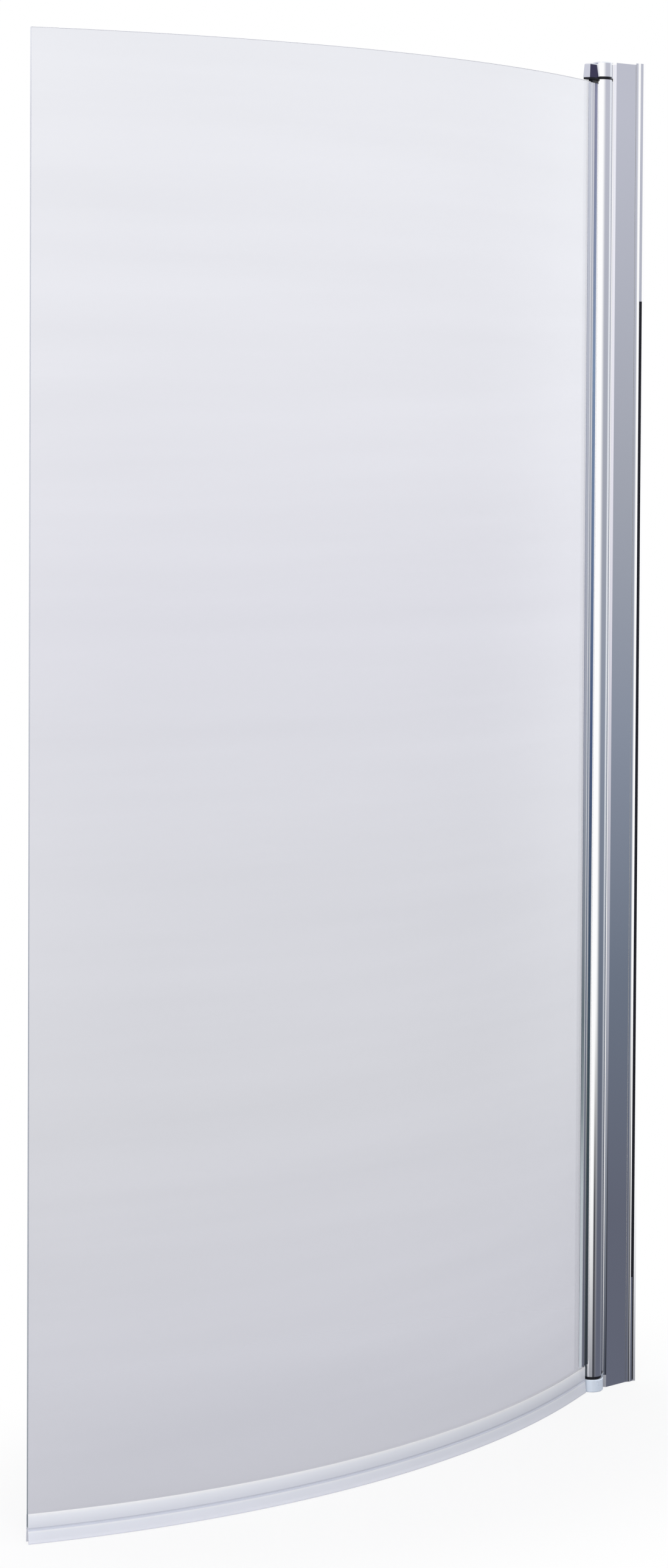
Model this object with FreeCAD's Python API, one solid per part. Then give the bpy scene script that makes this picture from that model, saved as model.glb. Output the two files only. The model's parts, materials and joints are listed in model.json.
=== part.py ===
"""Curved single-panel bath screen on a wall hinge post, in millimetres.

Frame: +Z up.  X = 0 is the wall face that carries the screen, and the screen reaches out to -X.
-Y is the room side and +Y is the bath side.  Y = 0 is the middle of the hinge post.
Z = 0 is the bath rim.  The panel is drawn closed, with the chord of its bend square to the wall.
"""
import FreeCAD, Part
import math
import os
from FreeCAD import Vector

# ---- driving dimensions: overall ----
overall_projection = 800.0      # wall face to the free edge of the glass
overall_height = 1400.0         # rim to the top of the wall channel
past = 1.0                      # cutting shapes run this far past an open side

# ---- wall channel ----
channel_reach = 11.3            # how far its flanges come off the wall
channel_web = 2.0
channel_flange = 2.0
bead_width = 5.6                # round bead along the room-side flange
bead_rise = 1.2
groove_width = 4.2              # groove between the bead and the slanted rim at the wall
groove_depth = 0.8
rim_rise = 0.9                  # the slanted rim stands this far proud at the wall
slide_clearance = 0.2           # post inside the wall channel
wall_hole_radius = 2.6
wall_hole_sink = 4.8            # outer radius of the countersink
wall_hole_count = 3
wall_hole_end = 120.0           # first and last hole, from the ends of the channel

# ---- hinge post ----
post_depth = 22.0               # room face to bath face
post_wall = 1.8
post_back_gap = 1.0             # tail of the post to the web of the wall channel
post_web_x = 30.0               # inner web, from the pivot axis
post_web = 1.8
post_tail_radius = 1.0
cover_plate = 1.2
cover_plug = 6.0
cover_fit = 0.15
channel_overtop = 1.5           # wall channel above the cover of the post

# ---- pivot tube and cradle ----
axis_from_wall = 58.3
axis_behind_face = 4.7          # pivot axis behind the room face of the post
tube_radius = 11.0
tube_wall = 2.0
cradle_gap = 3.0                # tube to cradle
lip_start = 17.7                # flat room face begins here, from the axis
lip_chamfer = 2.7
horn_angle = 64.0               # the cradle ends here on the bath side
horn_radius = 2.5
wiper_angle = 52.0              # where the wiper strip sits in the cradle
wiper_bead_radius = 1.5
wiper_bead_sink = 1.2           # bead centre behind the cradle face
wiper_blade = 1.2
touch_gap = 0.3                 # between faces that slide past each other
wiper_end_gap = 1.0             # wiper strip to the brackets

# ---- glass channel on the tube ----
carrier_angle = 22.0            # from -X towards the room, closed
glass_offset = -2.3             # room face of the glass beside the axis, positive to the room
glass_thickness = 5.0
liner = 0.5
liner_end = 1.0
leg = 1.4
pocket_depth = 10.3
mouth_from_axis = 23.0          # free edge of the legs
root_fillet = 2.0
leg_tip_radius = 0.5
channel_bottom_cut = 29.0       # the legs stop this far above the rim
channel_top_below_glass = 1.0

# ---- glass ----
flat_strip = 45.3               # the bend starts here, from the axis
glass_bottom = 14.5
glass_below_tube = 3.0          # top edge of the glass under the top of the tube
glass_arris = 0.6

# ---- clear seal on the lower edge ----
seal_leg = 1.3
seal_grip = 13.0                # how far the clip reaches up the glass
seal_web = 1.3
seal_from_axis = 14.3
fin_tip = 0.9
fin_splay = 1.6
fin_root = 1.2
seal_lead = 0.5

# ---- top cap ----
cap_height = 15.5
cap_below_post = 0.5
cap_chamfer = 1.2
wing_reach = 28.0
wing_bath = -6.5                # sideways from the glass, positive towards the room
wing_nose = 1.0
wing_room = 5.1
wing_room_from = 19.0
wing_below_knuckle = 3.0        # top of the wing under the top of the knuckle
wing_drop = 2.0                 # the wing hangs this far below the knuckle
wing_draft = 1.0
wing_bevel = 1.0
wing_bevel_height = 1.0

# ---- pivots ----
pivot_radius = 4.0
running_fit = 0.05
hinge_plate = 2.4               # black plate between the tube and the cap
eye_inset = 0.5                 # eye of the plate inside the tube radius
top_bush_radius = 6.0
top_bush_length = 14.0
arm_width = 9.0
arm_low = -0.5                  # side of the arm nearest the room, from the axis
notch_clearance = 0.2
block_fit = 0.2
top_block_length = 32.0
bottom_block_length = 38.0
spindle_in_cap = 9.5
spindle_grip = 20.0
insert_length = 24.0
insert_below_bush = 2.0
boss_height = 13.0
boss_overhang = 1.5             # boss outside the tube radius
boss_chamfer = 0.8
pin_below = 3.0                 # bottom of the pin hole above the rim
pin_rise = 27.0                 # pin above the boss
pin_dome = 1.0
washer_thickness = 0.8
washer_inset = 1.0
washer_clearance = 0.1
bush_flange = 2.0
bush_flange_inset = 0.4
bush_length = 28.0
bush_roof = 2.0
plug_fit = 0.2

# ---- screws ----
screw_radius = 1.75
screw_head_radius = 3.2
screw_head_height = 2.0
bracket_screw_length = 9.0
bracket_screw_x = 21.0          # from the pivot axis
bracket_screw_pitch = 12.0
bracket_screw_end = 10.0
adjuster_length = 5.7
adjuster_count = 3
adjuster_end = 150.0
adjuster_from_wall = 6.6
screw_cap_wall = 0.8
screw_cap_gap = 0.3
grub_radius = 2.0
grub_length = 5.0
grub_key_radius = 1.0
grub_key_depth = 1.0
grub_height = 6.0               # above the underside of the knuckle

# ---- worked-out places ----
axis_x = -axis_from_wall
axis_y = -post_depth / 2 + axis_behind_face
axis = Vector(axis_x, axis_y, 0)
cover_top = overall_height - channel_overtop
post_top = cover_top - cover_plate
cap_top = cover_top - cap_below_post
knuckle_bottom = cap_top - cap_height
plate_top = knuckle_bottom - touch_gap
plate_bottom = plate_top - hinge_plate
tube_top = plate_bottom - touch_gap
washer_top = boss_height + washer_thickness
bush_bottom = washer_top + touch_gap
tube_bottom = bush_bottom + bush_flange
glass_top = tube_top - glass_below_tube
channel_top = glass_top - channel_top_below_glass
tube_bore = tube_radius - tube_wall
cradle_radius = tube_radius + cradle_gap
arm_reach = cradle_radius + 2 * post_wall       # through the cradle wall and into the block
leg_room = liner + leg
leg_bath = -(glass_thickness + liner + leg)
pocket_floor = mouth_from_axis - pocket_depth
glass_edge = pocket_floor + liner_end
face_room = -axis_behind_face                   # faces of the post, measured from the axis
face_bath = post_depth - axis_behind_face
post_tail = axis_from_wall - channel_web - post_back_gap
carrier = math.radians(carrier_angle)
along = Vector(-math.cos(carrier), -math.sin(carrier), 0)    # from the axis along the glass
toward_room = Vector(math.sin(carrier), -math.cos(carrier), 0)
bend_start = axis + along * flat_strip + toward_room * glass_offset
bend_chord = overall_projection + bend_start.x
bend_radius = bend_chord / (2 * math.sin(carrier))           # room face of the glass
bend_centre = bend_start - toward_room * bend_radius
bend_sweep = 2 * carrier_angle
UP = Vector(0, 0, 1)


# ---- small helpers ----
def post_point(dx, dy, z=0.0):
    """A point measured from the pivot axis along X and Y."""
    return Vector(axis_x + dx, axis_y + dy, z)


def glass_point(u, n, z=0.0):
    """A point measured along the glass from the axis, and sideways from its room face."""
    flat = axis + along * u + toward_room * (n + glass_offset)
    return Vector(flat.x, flat.y, z)


def face_of(edges):
    return Part.Face(Part.Wire(edges))


def line(a, b):
    return Part.LineSegment(a, b).toShape()


def arc(a, middle, b):
    return Part.Arc(a, middle, b).toShape()


def polygon(points):
    return Part.Face(Part.makePolygon(list(points) + [points[0]]))


def upright(face, z0, z1):
    """A face drawn at Z = 0, raised to z0 and extruded to z1."""
    raised = face.copy()
    raised.translate(Vector(0, 0, z0))
    return raised.extrude(Vector(0, 0, z1 - z0))


def pillar(radius, centre, z0, z1):
    return Part.makeCylinder(radius, z1 - z0, Vector(centre.x, centre.y, z0))


def block(x0, y0, z0, x1, y1, z1):
    return Part.makeBox(x1 - x0, y1 - y0, z1 - z0, Vector(x0, y0, z0))


def upright_edges(shape, points):
    """The edges that run along Z through the given points of the plan."""
    found = []
    for edge in shape.Edges:
        ends = [v.Point for v in edge.Vertexes]
        if len(ends) != 2:
            continue
        if abs(ends[0].x - ends[1].x) + abs(ends[0].y - ends[1].y) > 1e-4:
            continue
        if any(math.hypot(ends[0].x - p.x, ends[0].y - p.y) < 1e-3 for p in points):
            found.append(edge)
    return found


def rounded(shape, points, radius):
    return shape.makeFillet(radius, upright_edges(shape, points))


def level_edges(shape, z, near=None, reach=0.0):
    """The edges that lie at one height, and when asked within reach of a point."""
    found = []
    for edge in shape.Edges:
        box = edge.BoundBox
        if abs(box.ZMin - z) > 1e-4 or abs(box.ZMax - z) > 1e-4:
            continue
        centre = box.Center
        if near is None or math.hypot(centre.x - near.x, centre.y - near.y) < reach:
            found.append(edge)
    return found


def save(shape, name):
    shape.exportStep("parts/" + name + ".step")


# ---- wall channel ----
def wall_hole_levels():
    step = (overall_height - 2 * wall_hole_end) / (wall_hole_count - 1)
    return [wall_hole_end + step * i for i in range(wall_hole_count)]


def wall_channel():
    inner = post_depth / 2 + slide_clearance
    outer = inner + channel_flange
    tip = -channel_reach
    bead_end = tip + bead_width
    groove_end = bead_end + groove_width
    bead_start = -(inner + channel_flange / 2)
    bead_crest = -(outer + bead_rise)
    groove_floor = -(outer - groove_depth)
    rim = -(outer + rim_rise)
    section = face_of([
        line(Vector(0, outer, 0), Vector(0, rim, 0)),
        line(Vector(0, rim, 0), Vector(groove_end, groove_floor, 0)),
        line(Vector(groove_end, groove_floor, 0), Vector(bead_end, groove_floor, 0)),
        arc(Vector(bead_end, groove_floor, 0), Vector((tip + bead_end) / 2, bead_crest, 0),
            Vector(tip, bead_start, 0)),
        line(Vector(tip, bead_start, 0), Vector(tip, -inner, 0)),
        line(Vector(tip, -inner, 0), Vector(-channel_web, -inner, 0)),
        line(Vector(-channel_web, -inner, 0), Vector(-channel_web, inner, 0)),
        line(Vector(-channel_web, inner, 0), Vector(tip, inner, 0)),
        line(Vector(tip, inner, 0), Vector(tip, outer, 0)),
        line(Vector(tip, outer, 0), Vector(0, outer, 0)),
    ])
    channel = upright(section, 0, overall_height)
    for z in wall_hole_levels():
        channel = channel.cut(wall_hole(z))
    for z in adjuster_levels():
        shank = Part.makeCylinder(screw_radius, 2 * channel_flange,
                                  Vector(-adjuster_from_wall, inner - channel_flange / 2, z),
                                  Vector(0, 1, 0))
        channel = channel.cut(shank)
    return channel


def wall_hole(z):
    """A countersunk hole for a wall screw, driven from inside the channel."""
    bore = Part.makeCylinder(wall_hole_radius, channel_web, Vector(-channel_web, 0, z),
                             Vector(1, 0, 0))
    sink_depth = channel_web / 2
    sink = Part.makeCone(wall_hole_sink, wall_hole_radius, sink_depth,
                         Vector(-channel_web, 0, z), Vector(1, 0, 0))
    return bore.fuse(sink)


# ---- hinge post ----
def post_outline():
    """The outside of the post, seen from above, round the cradle and back."""
    horn = math.radians(horn_angle)
    middle = horn / 2
    start = post_point(cradle_radius, 0)
    end = post_point(cradle_radius * math.cos(horn), cradle_radius * math.sin(horn))
    through = post_point(cradle_radius * math.cos(middle), cradle_radius * math.sin(middle))
    lip = post_point(lip_start - lip_chamfer, face_room + lip_chamfer)
    flat = post_point(lip_start, face_room)
    tail_room = post_point(post_tail, face_room)
    tail_bath = post_point(post_tail, face_bath)
    horn_top = Vector(end.x, axis_y + face_bath, 0)
    section = face_of([
        arc(start, through, end),
        line(end, horn_top),
        line(horn_top, tail_bath),
        line(tail_bath, tail_room),
        line(tail_room, flat),
        line(flat, lip),
        line(lip, start),
    ])
    return section, horn_top, [tail_room, tail_bath]


def post_solid(z0, z1):
    section, horn_top, tail = post_outline()
    solid = upright(section, z0, z1)
    solid = rounded(solid, [horn_top], horn_radius)
    return rounded(solid, tail, post_tail_radius)


def front_chamber(inset):
    """The hollow behind the cradle, which also takes the blocks of the brackets."""
    radius = cradle_radius + post_wall + inset
    horn_x = cradle_radius * math.cos(math.radians(horn_angle))
    left = horn_x + 2 * post_wall + 2 * wiper_bead_radius + inset
    top = face_bath - post_wall - inset
    low = face_room + post_wall + inset
    right = post_web_x - inset
    a1 = math.acos(left / radius)
    return face_of([
        line(post_point(left, top), post_point(left, radius * math.sin(a1))),
        arc(post_point(left, radius * math.sin(a1)),
            post_point(radius * math.cos(a1 / 2), radius * math.sin(a1 / 2)),
            post_point(radius, 0)),
        line(post_point(radius, 0), post_point(lip_start + post_wall, low)),
        line(post_point(lip_start + post_wall, low), post_point(right, low)),
        line(post_point(right, low), post_point(right, top)),
        line(post_point(right, top), post_point(left, top)),
    ])


def rear_chamber(inset):
    x0 = post_web_x + post_web + inset
    x1 = post_tail - post_wall - inset
    y0 = face_room + post_wall + inset
    y1 = face_bath - post_wall - inset
    return polygon([post_point(x0, y0), post_point(x1, y0), post_point(x1, y1), post_point(x0, y1)])


def arm_notch(z0, z1, clearance):
    """The window in the cradle wall through which the arm of a bracket passes."""
    return block(axis_x + cradle_radius / 2, axis_y + arm_low - clearance, z0,
                 axis_x + arm_reach, axis_y + arm_low + arm_width + clearance, z1)


def wiper_place(radius):
    angle = math.radians(wiper_angle)
    return post_point(radius * math.cos(angle), radius * math.sin(angle))


def wiper_shape(reach, z0, z1):
    """Bead and blade of the wiper strip; reach is the radius where the blade ends."""
    centre_radius = cradle_radius + wiper_bead_sink
    bead = pillar(wiper_bead_radius, wiper_place(centre_radius), z0, z1)
    blade = block(axis_x + reach, axis_y - wiper_blade / 2, z0,
                  axis_x + centre_radius, axis_y + wiper_blade / 2, z1)
    blade.rotate(axis, UP, wiper_angle)
    return bead.fuse(blade)


def post_profile():
    post = post_solid(0, post_top)
    post = post.cut(upright(front_chamber(0), 0, post_top))
    post = post.cut(upright(rear_chamber(0), 0, post_top))
    post = post.cut(wiper_shape(cradle_radius - past, 0, post_top))
    post = post.cut(arm_notch(0, boss_height + notch_clearance, notch_clearance))
    post = post.cut(arm_notch(plate_bottom - notch_clearance, post_top, notch_clearance))
    for z in bracket_screw_levels():
        post = post.cut(bracket_screw_shank(z))
    for z in adjuster_levels():
        post = post.cut(adjuster_shank(z))
    return post


def post_top_cover():
    """A thin cover over the end of the post, with a plug in each chamber."""
    plate = post_solid(post_top, cover_top)
    front = upright(front_chamber(cover_fit), post_top - cover_plug, post_top)
    rear = upright(rear_chamber(cover_fit), post_top - cover_plug, post_top)
    return plate.fuse([front, rear])


def hinge_wiper_seal():
    return wiper_shape(tube_radius + touch_gap, boss_height + wiper_end_gap,
                       plate_bottom - wiper_end_gap)


# ---- brackets ----
def bracket_block(z0, z1):
    return upright(front_chamber(block_fit), z0, z1)


def bracket_arm(z0, z1):
    return block(axis_x + pivot_radius, axis_y + arm_low, z0,
                 axis_x + arm_reach, axis_y + arm_low + arm_width, z1)


def top_hinge_bracket():
    """A block in the post with a plate that reaches out to the pivot axis."""
    body = bracket_block(plate_top - top_block_length, plate_top)
    eye = pillar(tube_radius - eye_inset, axis, plate_bottom, plate_top)
    body = body.fuse([eye, bracket_arm(plate_bottom, plate_top)])
    body = body.cut(pillar(top_bush_radius, axis, plate_bottom, plate_top))
    for z in bracket_screw_levels():
        body = body.cut(bracket_screw_shank(z))
    return body.removeSplitter()


def bottom_hinge_bracket():
    """A round boss under the tube, its arm through the cradle and its block in the post."""
    boss = pillar(tube_radius + boss_overhang, axis, 0, boss_height)
    boss = boss.makeChamfer(boss_chamfer, level_edges(boss, 0) + level_edges(boss, boss_height))
    body = bracket_block(0, bottom_block_length)
    body = body.fuse([boss, bracket_arm(0, boss_height)])
    body = body.cut(pillar(pivot_radius, axis, pin_below, boss_height))
    for z in bracket_screw_levels():
        body = body.cut(bracket_screw_shank(z))
    return body.removeSplitter()


# ---- pivots ----
def top_pivot_bush():
    bush = pillar(top_bush_radius, axis, plate_top - top_bush_length, plate_top)
    return bush.cut(pillar(pivot_radius + running_fit, axis, plate_top - top_bush_length, plate_top))


def insert_top():
    return plate_top - top_bush_length - insert_below_bush


def top_pivot_spindle():
    return pillar(pivot_radius, axis, insert_top() - spindle_grip, knuckle_bottom + spindle_in_cap)


def top_spindle_insert():
    """A plug in the bore of the tube that holds the lower end of the spindle."""
    top = insert_top()
    plug = pillar(tube_bore, axis, top - insert_length, top)
    return plug.cut(pillar(pivot_radius, axis, top - spindle_grip, top))


def bottom_pivot_pin():
    top = boss_height + pin_rise
    pin = pillar(pivot_radius, axis, pin_below, top)
    return pin.makeChamfer(pin_dome, level_edges(pin, top))


def bottom_thrust_washer():
    washer = pillar(tube_radius - washer_inset, axis, boss_height, washer_top)
    return washer.cut(pillar(pivot_radius + washer_clearance, axis, boss_height, washer_top))


def bottom_pivot_bush():
    """A bush in the lower end of the tube, with a flange under the tube and a closed top."""
    flange = pillar(tube_radius - bush_flange_inset, axis, bush_bottom, tube_bottom)
    sleeve = pillar(tube_bore, axis, tube_bottom, tube_bottom + bush_length)
    bush = flange.fuse(sleeve)
    hole_top = tube_bottom + bush_length - bush_roof
    return bush.cut(pillar(pivot_radius + running_fit, axis, bush_bottom, hole_top))


# ---- pivot profile ----
def pivot_profile():
    """Tube and glass channel in one extrusion, the channel cut back at both ends."""
    legs = polygon([glass_point(0, leg_bath), glass_point(mouth_from_axis, leg_bath),
                    glass_point(mouth_from_axis, leg_room), glass_point(0, leg_room)])
    solid = upright(legs, tube_bottom, tube_top)
    solid = solid.fuse(pillar(tube_radius, axis, tube_bottom, tube_top)).removeSplitter()
    corners = []
    for n in (leg_room, leg_bath):
        corners.append(glass_point(math.sqrt(tube_radius ** 2 - (n + glass_offset) ** 2), n))
    solid = rounded(solid, corners, root_fillet)
    tips = [glass_point(mouth_from_axis, leg_bath), glass_point(mouth_from_axis, leg_room)]
    solid = rounded(solid, tips, leg_tip_radius)
    pocket = polygon([glass_point(pocket_floor, -(glass_thickness + liner)),
                      glass_point(mouth_from_axis + past, -(glass_thickness + liner)),
                      glass_point(mouth_from_axis + past, liner), glass_point(pocket_floor, liner)])
    solid = solid.cut(upright(pocket, tube_bottom, tube_top))
    solid = solid.cut(pillar(tube_bore, axis, tube_bottom, tube_top))
    solid = solid.cut(channel_space(tube_bottom, channel_bottom_cut))
    return solid.cut(channel_space(channel_top, tube_top))


def channel_space(z0, z1):
    """The room that the glass channel takes outside the tube."""
    wide = tube_radius
    space = polygon([glass_point(0, -wide), glass_point(mouth_from_axis + past, -wide),
                     glass_point(mouth_from_axis + past, wide), glass_point(0, wide)])
    return upright(space, z0, z1).cut(pillar(tube_radius, axis, z0, z1))


def channel_top_plug():
    """A black plug on the room-side leg of the glass channel, under the wing of the cap."""
    top = knuckle_bottom - wing_drop
    middle = -glass_thickness / 2
    outline = polygon([glass_point(tube_radius + plug_fit, middle),
                       glass_point(mouth_from_axis, middle),
                       glass_point(mouth_from_axis, leg_room),
                       glass_point(tube_radius + plug_fit, leg_room)])
    plug = upright(outline, channel_top, top)
    tips = [glass_point(mouth_from_axis, middle), glass_point(mouth_from_axis, leg_room)]
    plug = rounded(plug, tips, leg_tip_radius)
    slot = polygon([glass_point(glass_edge - plug_fit, -glass_thickness - plug_fit),
                    glass_point(mouth_from_axis + past, -glass_thickness - plug_fit),
                    glass_point(mouth_from_axis + past, plug_fit),
                    glass_point(glass_edge - plug_fit, plug_fit)])
    return plug.cut(upright(slot, channel_top, glass_top))


def glazing_gasket():
    """The thin U liner between the glass and its channel."""
    outer = polygon([glass_point(pocket_floor, -(glass_thickness + liner)),
                     glass_point(mouth_from_axis, -(glass_thickness + liner)),
                     glass_point(mouth_from_axis, liner), glass_point(pocket_floor, liner)])
    inner = polygon([glass_point(glass_edge, -glass_thickness),
                     glass_point(mouth_from_axis + past, -glass_thickness),
                     glass_point(mouth_from_axis + past, 0), glass_point(glass_edge, 0)])
    gasket = upright(outer, channel_bottom_cut, channel_top)
    return gasket.cut(upright(inner, channel_bottom_cut, channel_top))


# ---- bent glass and its seal ----
def along_the_glass(points, from_axis):
    """A section of (sideways, height) points swept straight from the axis and then round the bend."""
    section = polygon([glass_point(flat_strip, n, z) for n, z in points])
    straight = section.extrude(along * (from_axis - flat_strip))
    bend = section.revolve(bend_centre, Vector(0, 0, -1), bend_sweep)
    return straight.fuse(bend).removeSplitter()


def glass_panel():
    a = glass_arris
    t = -glass_thickness
    section = [(-a, glass_bottom), (0, glass_bottom + a), (0, glass_top - a), (-a, glass_top),
               (t + a, glass_top), (t, glass_top - a), (t, glass_bottom + a), (t + a, glass_bottom)]
    return along_the_glass(section, glass_edge)


def bottom_seal():
    """A clear clip on the lower edge of the glass with a fin on each side down to the rim."""
    t = -glass_thickness
    clip_top = glass_bottom + seal_grip
    web_bottom = glass_bottom - seal_web
    section = [
        (0, clip_top - seal_lead), (seal_lead, clip_top), (seal_leg, clip_top - seal_lead),
        (seal_leg, web_bottom), (fin_splay + fin_tip, 0), (fin_splay, 0),
        (seal_leg - fin_root, web_bottom), (t - seal_leg + fin_root, web_bottom),
        (t - fin_splay, 0), (t - fin_splay - fin_tip, 0), (t - seal_leg, web_bottom),
        (t - seal_leg, clip_top - seal_lead), (t - seal_lead, clip_top), (t, clip_top - seal_lead),
        (t, glass_bottom), (0, glass_bottom),
    ]
    return along_the_glass(section, seal_from_axis)


# ---- top cap ----
def wing_wire(inset, z):
    """The plan of the wing at one height, drawn in from its lower edge by inset."""
    points = [(0, wing_bath + inset), (wing_reach - inset, wing_bath + inset),
              (wing_reach - inset, wing_nose), (wing_room_from, wing_room - inset),
              (0, wing_room - inset)]
    return Part.makePolygon([glass_point(u, n, z) for u, n in points + points[:1]])


def top_cap():
    """Round over the tube, with a faceted wing over the end of the glass channel."""
    knuckle = pillar(tube_radius, axis, knuckle_bottom, cap_top)
    knuckle = knuckle.makeChamfer(cap_chamfer, level_edges(knuckle, cap_top))
    wing_bottom = knuckle_bottom - wing_drop
    wing_top = cap_top - wing_below_knuckle
    bevel_z = wing_top - wing_bevel_height
    lower = Part.makeLoft([wing_wire(0, wing_bottom), wing_wire(wing_draft, bevel_z)], True, True)
    upper = Part.makeLoft([wing_wire(wing_draft, bevel_z),
                           wing_wire(wing_draft + wing_bevel, wing_top)], True, True)
    below = pillar(tube_radius + touch_gap, axis, wing_bottom, knuckle_bottom)
    wing = lower.fuse(upper).cut(below)
    cap = knuckle.fuse(wing).removeSplitter()
    cap = cap.cut(pillar(pivot_radius, axis, knuckle_bottom, knuckle_bottom + spindle_in_cap))
    return cap.cut(grub_shape())


def grub_direction():
    """The grub screw comes in square to the glass, from the bath side."""
    return toward_room * -1


def grub_shape():
    start = axis + grub_direction() * pivot_radius + Vector(0, 0, knuckle_bottom + grub_height)
    return Part.makeCylinder(grub_radius, tube_radius, start, grub_direction())


def top_cap_grub_screw():
    start = axis + grub_direction() * pivot_radius + Vector(0, 0, knuckle_bottom + grub_height)
    body = Part.makeCylinder(grub_radius, grub_length, start, grub_direction())
    key_start = start + grub_direction() * (grub_length - grub_key_depth)
    return body.cut(hex_prism(grub_key_radius, key_start, grub_direction(), grub_key_depth))


def hex_prism(radius, start, direction, length):
    """A six-sided key recess."""
    side = direction.cross(UP)
    points = []
    for i in range(6):
        angle = math.radians(60 * i)
        points.append(start + side * (radius * math.cos(angle)) + UP * (radius * math.sin(angle)))
    return polygon(points).extrude(direction * length)


# ---- screws ----
def bracket_screw_levels():
    low = [bottom_block_length - bracket_screw_end - bracket_screw_pitch * i for i in (1, 0)]
    start = plate_top - top_block_length + bracket_screw_end
    high = [start + bracket_screw_pitch * i for i in (0, 1)]
    return low + high


def adjuster_levels():
    step = (post_top - 2 * adjuster_end) / (adjuster_count - 1)
    return [adjuster_end + step * i for i in range(adjuster_count)]


def bracket_screw_shank(z):
    start = post_point(bracket_screw_x, face_bath - bracket_screw_length, z)
    return Part.makeCylinder(screw_radius, bracket_screw_length, start, Vector(0, 1, 0))


def adjuster_shank(z):
    start = Vector(-adjuster_from_wall, adjuster_face() - adjuster_length, z)
    return Part.makeCylinder(screw_radius, adjuster_length, start, Vector(0, 1, 0))


def adjuster_face():
    return post_depth / 2 + slide_clearance + channel_flange


def screw_head(centre):
    """A low round head, seated on a face that looks to the bath."""
    return Part.makeCylinder(screw_head_radius, screw_head_height, centre, Vector(0, 1, 0))


def bracket_screws():
    screws = []
    for z in bracket_screw_levels():
        head = screw_head(post_point(bracket_screw_x, face_bath, z))
        screws.append(bracket_screw_shank(z).fuse(head))
    return Part.makeCompound(screws)


def adjuster_screws():
    screws = []
    for z in adjuster_levels():
        head = screw_head(Vector(-adjuster_from_wall, adjuster_face(), z))
        screws.append(adjuster_shank(z).fuse(head))
    return Part.makeCompound(screws)


def adjuster_screw_caps():
    """Thin round covers that snap over the heads of the adjusting screws."""
    caps = []
    inner_radius = screw_head_radius + screw_cap_gap
    inner_height = screw_head_height + screw_cap_gap
    for z in adjuster_levels():
        centre = Vector(-adjuster_from_wall, adjuster_face(), z)
        shell = Part.makeCylinder(inner_radius + screw_cap_wall, inner_height + screw_cap_wall,
                                  centre, Vector(0, 1, 0))
        top = centre.y + inner_height + screw_cap_wall
        outer = [e for e in shell.Edges if abs(e.BoundBox.YMin - top) < 1e-4]
        shell = shell.makeChamfer(screw_cap_wall, outer)
        hollow = Part.makeCylinder(inner_radius, inner_height, centre, Vector(0, 1, 0))
        caps.append(shell.cut(hollow))
    return Part.makeCompound(caps)


def main():
    os.makedirs("parts", exist_ok=True)
    save(wall_channel(), "wall_channel")
    save(post_profile(), "post_profile")
    save(post_top_cover(), "post_top_cover")
    save(top_hinge_bracket(), "top_hinge_bracket")
    save(bottom_hinge_bracket(), "bottom_hinge_bracket")
    save(bracket_screws(), "bracket_screws")
    save(adjuster_screws(), "adjuster_screws")
    save(adjuster_screw_caps(), "adjuster_screw_caps")
    save(hinge_wiper_seal(), "hinge_wiper_seal")
    save(top_pivot_bush(), "top_pivot_bush")
    save(bottom_pivot_pin(), "bottom_pivot_pin")
    save(bottom_thrust_washer(), "bottom_thrust_washer")
    save(pivot_profile(), "pivot_profile")
    save(top_cap(), "top_cap")
    save(top_cap_grub_screw(), "top_cap_grub_screw")
    save(top_pivot_spindle(), "top_pivot_spindle")
    save(top_spindle_insert(), "top_spindle_insert")
    save(bottom_pivot_bush(), "bottom_pivot_bush")
    save(channel_top_plug(), "channel_top_plug")
    save(glazing_gasket(), "glazing_gasket")
    save(glass_panel(), "glass_panel")
    save(bottom_seal(), "bottom_seal")


main()
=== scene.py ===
import bmesh
import bpy
import json
import math
from mathutils import Matrix, Vector


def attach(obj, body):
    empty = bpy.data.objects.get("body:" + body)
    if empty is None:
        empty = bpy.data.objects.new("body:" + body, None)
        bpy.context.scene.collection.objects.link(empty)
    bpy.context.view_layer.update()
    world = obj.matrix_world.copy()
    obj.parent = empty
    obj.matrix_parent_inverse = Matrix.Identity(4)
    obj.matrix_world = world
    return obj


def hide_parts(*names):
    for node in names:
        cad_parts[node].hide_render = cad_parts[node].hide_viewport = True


# Looks of the curved bath screen.  Metres, +Z up, X = 0 at the wall, -Y is the room side.

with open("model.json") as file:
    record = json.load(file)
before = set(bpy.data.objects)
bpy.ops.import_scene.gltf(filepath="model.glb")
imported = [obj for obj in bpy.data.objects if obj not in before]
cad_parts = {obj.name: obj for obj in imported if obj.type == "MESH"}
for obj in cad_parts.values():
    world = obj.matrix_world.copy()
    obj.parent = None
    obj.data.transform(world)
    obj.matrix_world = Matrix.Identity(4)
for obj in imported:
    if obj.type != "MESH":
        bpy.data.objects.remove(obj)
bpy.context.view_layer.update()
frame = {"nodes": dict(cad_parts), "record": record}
nodes = frame["nodes"]
MM = 0.001

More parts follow.
